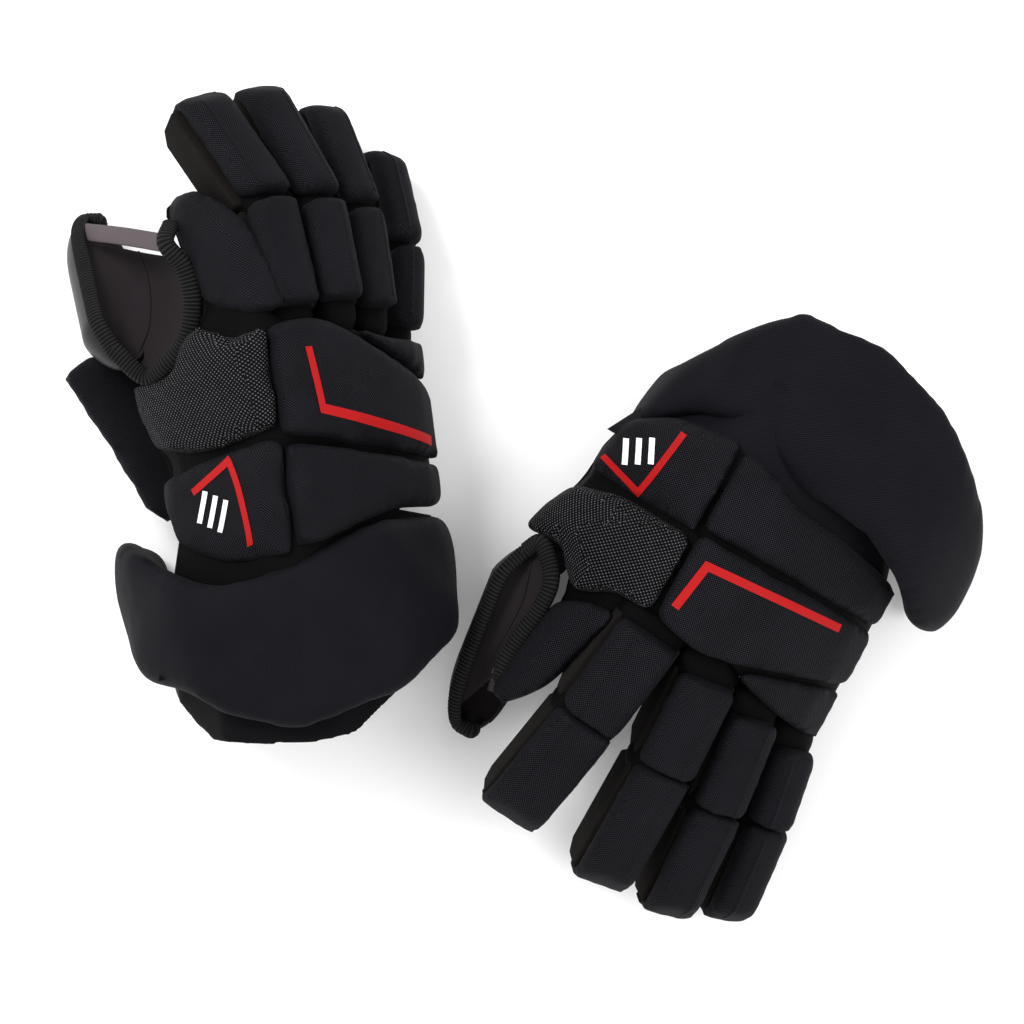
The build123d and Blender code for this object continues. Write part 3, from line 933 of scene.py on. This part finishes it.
# Widths and thicknesses of the tapes.
THUMB_TAPE = (8.5 * MM, 5.0 * MM)
WEB_TAPE = (9.0 * MM, 5.5 * MM)
STRAP_TAPE = (9.0 * MM, 1.6 * MM)
STRAP_FROM = {"right": (-6, 88, 12), "left": (4, 84, -9)}   # in the thumb's own millimetres
STRAP_RISE = {"right": 9.0, "left": -12.0}     # its middle is lifted or lowered by this
WEB_REACH = {"right": 0.90, "left": 1.0}       # how far along the web its lining reaches
WEB_SAG = {"right": 20.0, "left": 7.0}
WEB_ROWS, WEB_STEPS = 20, 12     # along the web and across it
WEB_THICK = 1.5 * MM
# The web's tape, in hand millimetres, from the thumb's root to its end at the index finger's side.
WEB_END = {"right": (-26, 168, -4), "left": (-38, 164, -24)}
WEB_PATH = {
    "right": [(-46, 96, -17), (-38, 99, -6), (-28, 110, 2), (-23, 128, 5), (-25, 145, 6),
              (-32, 158, 4)],
    "left": [(-60, 90, -14), (-52, 96, -8), (-46, 106, -4), (-45, 122, -6),
             (-47, 140, -10), (-46, 156, -14)],
}


def bindings(glove):
    """Ribbed elastic round the thumb's mouth, and along the web up to the index finger's side."""
    rim = []
    for share in RIM_SHARES:
        radius = THUMB_RADIUS * thumb_radius(share) - 1.0
        turn = radians(MOUTH_FROM)
        rim.append(thumb_point(glove, (radius * cos(turn), share * THUMB_LENGTH, radius * sin(turn))))
    for angle in NOSE_ANGLES:
        turn = radians(angle)
        across, height = NOSE_RADIUS * cos(turn), NOSE_RADIUS * sin(turn)
        rim.append(thumb_point(glove, (across, THUMB_LENGTH - 2.5, height)))
    up = (thumb_point(glove, (-12, 50, 25)) - thumb_point(glove, (0, 50, 0))).normalized()
    mouth = tape(f"{glove}_thumb_rim", rim, *THUMB_TAPE, up, ribs=True)
    dress_tape(mouth, "ribbed_binding", f"{glove}_thumb")
    web = [rim[0]] + [from_hand(glove, point) for point in WEB_PATH[glove] + [WEB_END[glove]]]
    up = (hand_frame(glove).to_3x3() @ Vector((-0.5 if glove == "right" else 0.5, 0, 1))).normalized()
    tie = tape(f"{glove}_web_tape", web, *WEB_TAPE, up, ribs=True)
    dress_tape(tie, "ribbed_binding", f"{glove}_hand", [f"{glove}_web_binding"])
    tip = thumb_point(glove, STRAP_FROM[glove])
    web_end = web[-2]
    rise = (tip + web_end) / 2 + Vector((0, 0, STRAP_RISE[glove] * MM))
    strap = tape(f"{glove}_web_strap", [tip, rise, web_end], *STRAP_TAPE, Vector((0, 0, 1)))
    dress_tape(strap, "strap", None)
    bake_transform(strap)


def web_lining(glove):
    """The lining that sags between the thumb's rim and the web's binding."""
    last = WEB_REACH[glove]
    path = smooth_path([Vector(point) for point in WEB_PATH[glove]], 1.0)
    rings = []
    for step in range(WEB_ROWS + 1):
        along = last * step / WEB_ROWS
        share = 0.05 + 0.85 * along
        turn, radius = radians(MOUTH_FROM + 8), (THUMB_RADIUS - 3.5) * thumb_radius(share)
        rim = thumb_point(glove, (radius * cos(turn), share * THUMB_LENGTH, radius * sin(turn)))
        edge = from_hand(glove, path[int(along * (len(path) - 1))] + Vector((0, 0, -3)))
        ring, under = [], []
        for spot in range(WEB_STEPS + 1):
            across = spot / WEB_STEPS
            sag = Vector((0, 0, -WEB_SAG[glove] * MM * sin(pi * across)))
            ring.append(rim.lerp(edge, across) + sag)
            under.append(ring[-1] + Vector((0, 0, -WEB_THICK)))
        rings.append(ring + under[::-1])
    piece = from_rings(f"{glove}_web_lining", rings)
    dress(piece, "grey_liner", None, hand_frame(glove))
    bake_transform(piece)
    hem = tape(f"{glove}_web_hem", [ring[7] + Vector((0, 0, 0.6 * MM)) for ring in rings[::4]],
               1.4 * MM, 1.2 * MM, Vector((0, 0, 1)))
    dress_tape(hem, "grey_liner", None)
    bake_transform(hem)


# ---------------------------------------------------------------- stage
VIEW_CENTRE = Vector((-1.6 * MM, -1.8 * MM, 60 * MM))
VIEW_WIDTH = 512 * MM
CAMERA_ABOVE = 1.8
SENSOR = 36.0


def camera():
    data = bpy.data.cameras.new("camera")
    data.sensor_width = SENSOR
    data.lens = SENSOR * CAMERA_ABOVE / VIEW_WIDTH
    made = new_object("camera", data)
    made.location = VIEW_CENTRE + Vector((0, 0, CAMERA_ABOVE))
    bpy.context.scene.camera = made


def area_light(name, at, size, power):
    data = bpy.data.lights.new(name, "AREA")
    data.shape = "DISK"
    data.size = size
    data.energy = power
    made = new_object(name, data)
    made.location = at
    made.rotation_euler = (-Vector(at)).to_track_quat("-Z", "Y").to_euler()


def stage():
    floor_mesh = bpy.data.meshes.new("floor")
    reach = 6.0
    floor_mesh.from_pydata([(-reach, -reach, 0), (reach, -reach, 0), (reach, reach, 0), (-reach, reach, 0)],
                           [], [(0, 1, 2, 3)])
    floor = new_object("floor", floor_mesh)
    nodes = Nodes("floor")
    colour = nodes.mix(nodes.noise(3.0), (0.93, 0.93, 0.93, 1), (0.95, 0.95, 0.95, 1))
    floor_mesh.materials.append(nodes.finish(colour, 0.9))
    world = bpy.data.worlds.new("world")
    bpy.context.scene.world = world
    world.use_nodes = True
    world.node_tree.nodes["Background"].inputs["Color"].default_value = (1, 1, 1, 1)
    world.node_tree.nodes["Background"].inputs["Strength"].default_value = 1.15
    area_light("key", at=(-0.9, 0.9, 1.6), size=0.8, power=28.0)
    area_light("fill", at=(1.2, -0.6, 1.4), size=1.0, power=14.0)
    bpy.context.scene.view_settings.view_transform = "Standard"
    camera()


for side in LAY:
    pads = hand_pads(side)
    prints(side, pads)
    foundation(side)
    finger_pads(side)
    finger_sleeves(side)
    gussets(side)
    gaiter(side)
    cuff(side)
    hand_inside(side)
    thumb(side)
    bindings(side)
    web_lining(side)
stage()
bpy.context.view_layer.update()
